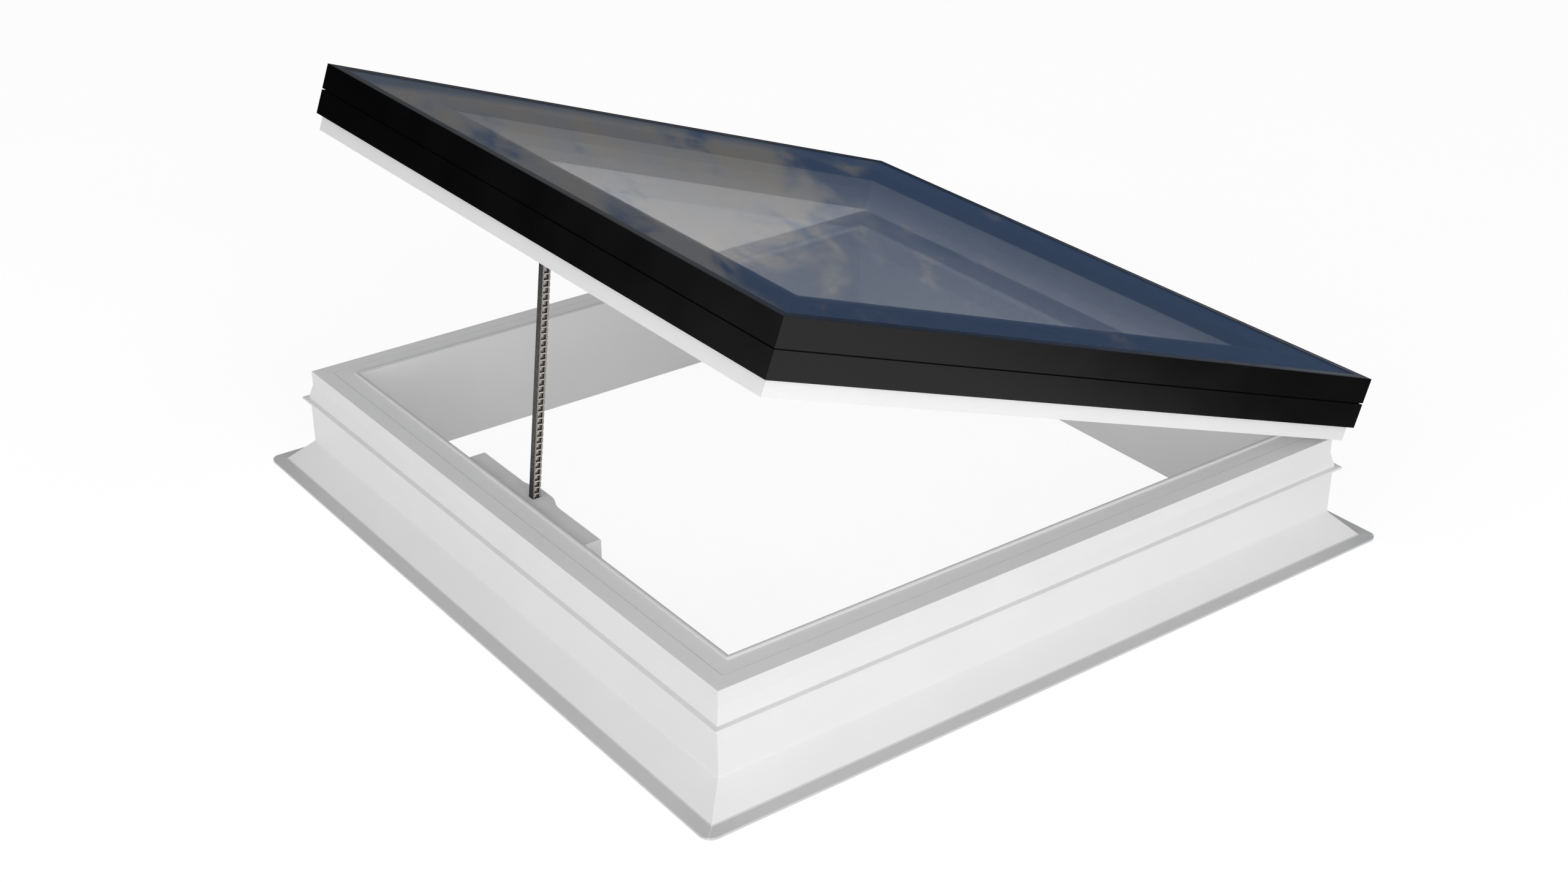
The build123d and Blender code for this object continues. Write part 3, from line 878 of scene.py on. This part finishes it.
@dataclass
class PushChain:
    """Push chain: links that lock straight, with pockets in both sides. Sizes in metres."""

    exit: tuple[float, float, float] = (-432.5 * MM, 0.0, 145 * MM)
    eye_closed: tuple[float, float, float] = (-459 * MM, 0.0, 157 * MM)
    half_depth: float = 5.4 * MM
    half_width: float = 5.5 * MM
    pitch: float = 8.7 * MM
    tail: float = 14 * MM               # length of chain inside the housing
    last_link: float = 16 * MM
    rung: float = 1.9 * MM
    rail: float = 1.5 * MM
    lobe: float = 1.0 * MM
    lobe_slope: float = 1.4 * MM
    pocket: float = 3.2 * MM
    hairline: float = 0.2 * MM
    bevel: float = 0.3 * MM
    tooth_width: float = 2.4 * MM
    tooth_edge: float = 1.2 * MM
    tooth_height: float = 3.6 * MM
    eye_radius: float = 4.5 * MM
    pin_radius: float = 2.05 * MM
    eye_steps: int = 32
    plate_end: float = 0.8              # how far below the eye's centre the plate ends, of the eye's radius
    shaded_face_share: float = 0.04            # painted shade: how bright the front and back are, of 1 on the rungs
    pocket_share: float = 0.5
    rail_share: float = 0.55

    def axes(self) -> tuple[np.ndarray, np.ndarray, float]:
        """Directions of the chain and its length.

        Returns:
            Rows across, side and along; the place of the exit; and the length to the eye.
        """
        start = np.array(self.exit)
        reach = opened(np.array([self.eye_closed]))[0] - start
        length = float(np.linalg.norm(reach))
        along = reach / length
        side = np.array([0.0, 1.0, 0.0])
        return np.array([np.cross(side, along), side, along]), start, length

    def link(self) -> Shell:
        """One link at its foot: core, front rail, lobed back rail, rung and teeth, as bevelled plates.

        Returns:
            Points (across, side, along) and faces.
        """
        deep, wide, top = self.half_depth, self.half_width, self.pitch - self.hairline
        core = wide - self.pocket
        valley = deep - self.lobe
        front, rear = self.rail - deep, valley - self.rail
        lobed = np.array([(rear, 0), (valley, 0), (deep, self.lobe_slope), (deep, top - self.lobe_slope),
                          (valley, top), (rear, top)])
        tooth = np.array([(front, top - self.tooth_height), (front + self.tooth_width, top - self.tooth_edge),
                          (front + self.tooth_width, top), (front, top)])
        shells = [
            bevelled_plate(box_outline(front, rear, 0, top), -core, core, self.bevel),
            bevelled_plate(box_outline(-deep, front, 0, top), -wide, wide, self.bevel),
            bevelled_plate(lobed, -wide, wide, self.bevel),
            bevelled_plate(box_outline(front, rear, 0, self.rung), -wide, wide, self.bevel),
            bevelled_plate(tooth, -wide, -core, self.bevel / 2),
            bevelled_plate(tooth, core, wide, self.bevel / 2),
        ]
        return gather(shells)

    def end_link(self, length: float) -> Shell:
        """Last link: a plate up to the eye, and the eye as a ring.

        The ring is a square section carried round the pin: point (i, j) is corner i at angle j.

        Args:
            length: distance from the exit to the eye's centre.

        Returns:
            Points and faces.
        """
        eye, hole = self.eye_radius, self.pin_radius
        outline = box_outline(-eye, eye, length - self.last_link, length - self.plate_end * eye)
        plate = bevelled_plate(outline, -self.half_width, self.half_width, self.bevel)
        angle = 2 * np.pi * np.arange(self.eye_steps) / self.eye_steps
        section = np.array([(hole, -1), (eye, -1), (eye, 1), (hole, 1), (hole, -1)])
        radius, side = section[:, :1], section[:, 1:] * self.half_width
        across = radius * np.cos(angle)
        loops = np.stack([across, np.broadcast_to(side, across.shape), length + radius * np.sin(angle)],
                         axis=-1)
        points, faces = loft(loops)
        return gather([plate, (points, faces[:-2])])

    def mark_wear_and_shade(self, piece: Piece, attribute: str, axes: np.ndarray, start: np.ndarray) -> None:
        """Store on each face how much bright metal it shows: 1 on rungs and teeth, less everywhere else, and
        nearly none on the front and back, as painted shade.

        With s the distance from the middle plane and n its share of the face's normal, a face is
        an outer flat where |n| > 0.5 and |s| lies past the middle of the pocket's depth. It is
        part of a rail where its distance across lies outside the pocket.

        Args:
            piece: the chain.
            attribute: name of the attribute that the finish reads.
            axes: rows across, side and along.
            start: place of the exit.
        """
        mesh = piece.data
        count = len(mesh.polygons)
        middle, normal = np.empty(3 * count), np.empty(3 * count)
        mesh.polygons.foreach_get("center", middle)
        mesh.polygons.foreach_get("normal", normal)
        place = (middle.reshape(-1, 3) - start) @ axes.T
        facing = normal.reshape(-1, 3) @ axes.T
        outer = np.abs(place[:, 1]) > self.half_width - self.pocket / 2
        flat = np.abs(facing[:, 1]) > 0.5
        across = place[:, 0]
        rail = (across < self.rail - self.half_depth) | (across > self.half_depth - self.lobe - self.rail)
        # Painted shade: faces that are not side flats, the front and back among them, stay nearly all greasy
        # brown
        share = np.where(outer & flat, np.where(rail, self.rail_share, 1.0), self.shaded_face_share)
        share = np.where(~outer & flat, self.pocket_share, share)
        layer = mesh.attributes.new(attribute, "FLOAT", "FACE")
        layer.data.foreach_set("value", share.astype(np.float32))

    def build(self) -> None:
        """Make the chain and let it stand for the CAD chain."""
        axes, start, length = self.axes()
        count = int((length - self.last_link + self.tail) / self.pitch)
        feet = length - self.last_link - self.pitch * np.arange(count, 0, -1)
        offsets = np.stack([np.zeros(count), np.zeros(count), feet], axis=1)
        points, faces = gather([repeated(self.link(), offsets), self.end_link(length)])
        finish = RubbedSteel()
        piece = make_piece("push_chain_links", points @ axes + start, faces, finish.material())
        merge_and_face_out(piece)
        self.mark_wear_and_shade(piece, finish.attribute, axes, start)
        carry(piece, Body.KERB)
        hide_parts("push_chain")
        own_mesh(piece)


def merge_and_face_out(piece: Piece, gap: float = 1e-7) -> None:
    """Merge doubled points and turn all faces outwards.

    Args:
        piece: a mesh object made of closed shells.
        gap: points closer than this become one.
    """
    shape = bmesh.new()
    shape.from_mesh(piece.data)
    bmesh.ops.remove_doubles(shape, verts=shape.verts, dist=gap)
    bmesh.ops.recalc_face_normals(shape, faces=shape.faces)
    shape.to_mesh(piece.data)
    shape.free()


@dataclass
class DriveAndFittings:
    """Chain drive, hinges and bracket, with the screws that hold them. Sizes in metres."""

    screw_radius: float = 2.9 * MM
    screw_height: float = 1.1 * MM
    socket_radius: float = 1.3 * MM
    socket_floor: float = 0.3           # of the head's height
    dome: tuple[tuple[float, float], ...] = ((1, 0), (1, 0.35), (0.85, 0.8), (0.6, 1))
    screw_steps: int = 24
    bracket_face: float = -448 * MM     # x of the bracket's plate with the lid closed
    bracket_screw_rise: tuple[float, float] = (177 * MM, 184 * MM)
    bracket_screw_reach: float = 7 * MM
    leaf_face: float = 501.5 * MM       # x of the kerb leaves' outer faces
    leaf_screw_rise: float = 132.5 * MM
    hinge_middle: float = 300 * MM
    hinge_screw_reach: float = 28 * MM

    def screw(self) -> Shell:
        """Low round head with a hexagon socket, standing on z = 0.

        The dome's rows are shares of its radius and height; two more rows go down the socket.

        Returns:
            Points and faces.
        """
        head = np.array(self.dome) * (self.screw_radius, self.screw_height)
        socket = np.array([(self.socket_radius, self.screw_height),
                           (self.socket_radius, self.socket_floor * self.screw_height)])
        rows = len(head)
        return turned_about(np.vstack([head, socket]), self.screw_steps, (rows, rows + 1))

    def screws(self, name: str, places: np.ndarray, outward: np.ndarray, body: Body,
               finish: Material) -> None:
        """Make a row of screws as one piece.

        Args:
            name: name of the piece.
            places: rows of x, y, z under the heads.
            outward: direction in which the heads stand.
            body: the body that they ride on.
            finish: material of the screws.
        """
        points, faces = self.screw()
        side = np.array([0.0, 1.0, 0.0])
        axes = np.array([np.cross(side, outward), side, outward])
        turned = (points @ axes, faces)
        piece = make_piece(name, *repeated(turned, places), finish)
        carry(piece, body)

    def build(self) -> None:
        """Dress the drive and fittings and add their screws."""
        zinc = ZINC.material()
        housing = HOUSING.material()
        for side in ("left", "right"):
            dress_node(f"hinge_kerb_leaf_{side}", zinc)
            dress_node(f"hinge_lid_leaf_{side}", zinc)
            dress_node(f"hinge_pin_{side}", zinc)
            dress_node(f"drive_end_cap_{side}", housing)
        dress_node("drive_housing", housing)
        for name in ("drive_plate", "chain_bracket", "chain_pin"):
            dress_node(name, zinc)
        dress_node("push_chain", zinc)
        turn = np.array(Euler((0, OPENING_ANGLE, 0)).to_matrix())
        inward = turn @ np.array([1.0, 0.0, 0.0])
        low, high = self.bracket_screw_rise
        reach = self.bracket_screw_reach
        rows = np.array([(self.bracket_face, -reach, low), (self.bracket_face, reach, low),
                         (self.bracket_face, 0.0, high)])
        self.screws("bracket_screws", opened(rows), inward, Body.LID, zinc)
        holes = np.array([
            (self.leaf_face, side * self.hinge_middle + along * self.hinge_screw_reach, self.leaf_screw_rise)
            for side in (-1, 1) for along in (-1, 1)])
        self.screws("hinge_screws", holes, np.array([1.0, 0.0, 0.0]), Body.KERB, zinc)


@dataclass
class Studio:
    """Pale floor, soft light, and the camera of the photograph. Sizes in metres."""

    camera_place: tuple[float, float, float] = (-1.62100, -2.12814, 1.48762)
    yaw: float = math.radians(53.360)
    pitch: float = math.radians(27.600)
    lens: float = 50.0                  # millimetres, as the sensor
    sensor: float = 36.0
    floor_half: float = 60.0
    floor_drop: float = 0.5 * MM
    sky_radius: float = 1.75
    sky_span: tuple[float, float] = (-30.0, 120.0)
    sky_height: float = 1.6
    card_radius: float = 1.7
    card_steps: int = 96
    # rows of name, span and height
    flags: tuple = (("left_black_flag", (95.0, 163.0), 3.2), ("right_black_flag", (296.0, 350.0), 1.6))
    whites: tuple = (("left_white_card", (164.0, 199.0), 1.5), ("right_white_card", (245.0, 285.0), 1.2))
    world_level: float = 0.54
    world_rise: float = 0.65
    world_bend: float = -1.05

    def build(self) -> None:
        """Make the camera, floor, cards, world and lamps."""
        self.camera()
        self.floor()
        self.round_card("sky_card", CloudySky().material(), self.sky_radius, self.sky_span,
                        self.sky_height, refracted=True)
        black = PaintedCard("black_flag", "#050505").material()
        white = PaintedCard("white_card", "#FFFFFF").material()
        for finish, rows in ((black, self.flags), (white, self.whites)):
            for name, span, height in rows:
                self.round_card(name, finish, self.card_radius, span, height)
        self.floor_card("floor_black_flag", black, across=(0.54, 1.6), along=(-1.6, -0.6), height=1 * MM)
        self.world()
        self.lamp("key_lamp", place=(-0.7, -4.2, 1.0), target=(0.0, 0.0, 0.2), size=2.2, power=66.0)
        fill = self.lamp("fill_lamp", place=(-4.4, -0.6, 0.7), target=(0.0, 0.0, 0.15), size=3.0, power=64.0)
        fill.visible_glossy = False

    def camera(self) -> None:
        """Place the camera: it looks along its yaw from +X towards +Y, and down by its pitch."""
        data = bpy.data.cameras.new("camera")
        data.lens, data.sensor_width, data.sensor_fit = self.lens, self.sensor, "HORIZONTAL"
        camera = bpy.data.objects.new("camera", data)
        camera.location = self.camera_place
        level = math.cos(self.pitch)
        look = Vector((math.cos(self.yaw) * level, math.sin(self.yaw) * level, -math.sin(self.pitch)))
        camera.rotation_euler = look.to_track_quat("-Z", "Y").to_euler()
        bpy.context.scene.collection.objects.link(camera)
        bpy.context.scene.camera = camera

    def floor(self) -> None:
        """Lay the floor just under the object's foot."""
        corner = np.array([(-1, -1), (1, -1), (1, 1), (-1, 1)], float) * self.floor_half
        points = np.column_stack([corner, np.full(4, -self.floor_drop)])
        make_piece("floor", points, [[0, 1, 2, 3]], FloorPaint().material())

    def mirrored_only(self, card: Piece, refracted: bool) -> None:
        """Let only mirrored rays meet a card.

        Args:
            card: the card.
            refracted: whether rays that leave the glass again after a reflection inside it meet it too.
        """
        card.visible_camera = card.visible_diffuse = False
        card.visible_shadow = card.visible_volume_scatter = False
        card.visible_transmission = refracted

    def round_card(self, name: str, material: Material, radius: float,
                   span: tuple[float, float], height: float, refracted: bool = False) -> None:
        """Stand a card on the floor on an arc round the object.

        Point (i, j) lies in direction j of the span, at z = 0 for i = 0 and at the top for i = 1.

        Args:
            name: name of the card.
            material: its finish.
            radius: distance from the middle of the object.
            span: first and last direction in degrees from +X towards +Y.
            height: its height.
            refracted: whether refracted rays meet the card as well.
        """
        count = self.card_steps + 1
        angle = np.radians(np.linspace(*span, count))
        rows = [np.column_stack([radius * np.cos(angle), radius * np.sin(angle), np.full(count, level)])
                for level in (0.0, height)]
        here = np.arange(self.card_steps)
        quads = np.column_stack([here, here + 1, here + 1 + count, here + count])
        card = make_piece(name, np.vstack(rows), quads.tolist(), material, smooth=True)
        self.mirrored_only(card, refracted)

    def floor_card(self, name: str, material: Material, across: tuple[float, float],
                   along: tuple[float, float], height: float) -> None:
        """Lay a card flat just above the floor.

        Args:
            name: name of the card.
            material: its finish.
            across: its range in x.
            along: its range in y.
            height: how far it lies above z = 0.
        """
        corners = box_outline(*across, *along)
        points = np.column_stack([corners, np.full(4, height)])
        self.mirrored_only(make_piece(name, points, [[0, 1, 2, 3]], material), False)

    def world(self) -> None:
        """Soft world light, white to the eye: level + rise h + bend h h, with h the height of a direction.

        It is brightest a third of the way up and dim overhead, as between tall soft boxes.
        """
        world = bpy.data.worlds.new("soft_studio_world")
        world.use_nodes = True
        tree = world.node_tree
        tree.nodes.clear()
        direction = add_node(tree, "TexCoord").outputs["Generated"]
        height = add_node(tree, "SeparateXYZ", {0: direction}).outputs[2]
        falling = maths(tree, "MULTIPLY_ADD", height, self.world_bend, self.world_rise)
        strength = maths(tree, "MULTIPLY_ADD", falling, height, self.world_level)
        light, seen = (add_node(tree, "Background", {
            "Color": linear("#FFFFFF"), "Strength": level}) for level in (strength, 1.0))
        both = add_node(tree, "MixShader", {
            0: eye_share(tree), 1: light.outputs[0], 2: seen.outputs[0]})
        add_node(tree, "OutputWorld", {"Surface": both.outputs[0]})
        bpy.context.scene.world = world

    def lamp(self, name: str, place: tuple, target: tuple, size: float, power: float) -> Piece:
        """Place a square soft lamp that faces a target.

        Args:
            name: name of the lamp.
            place: where it stands.
            target: what it faces.
            size: side of its square.
            power: power in watts.

        Returns:
            The lamp.
        """
        data = bpy.data.lights.new(name, "AREA")
        data.shape, data.size, data.energy = "SQUARE", size, power
        lamp = bpy.data.objects.new(name, data)
        lamp.location = place
        lamp.rotation_euler = (Vector(target) - Vector(place)).to_track_quat("-Z", "Y").to_euler()
        bpy.context.scene.collection.objects.link(lamp)
        return lamp


def main() -> None:
    """Build the studio and every sub-assembly in order."""
    logging.basicConfig(level=logging.INFO, format="%(name)s: %(message)s")
    bpy.context.scene.view_settings.view_transform = "Standard"
    Studio().build()
    KerbLooks().dress()
    LidLooks().dress()
    Glazing().build()
    PushChain().build()
    DriveAndFittings().build()


if __name__ == "__main__":
    main()
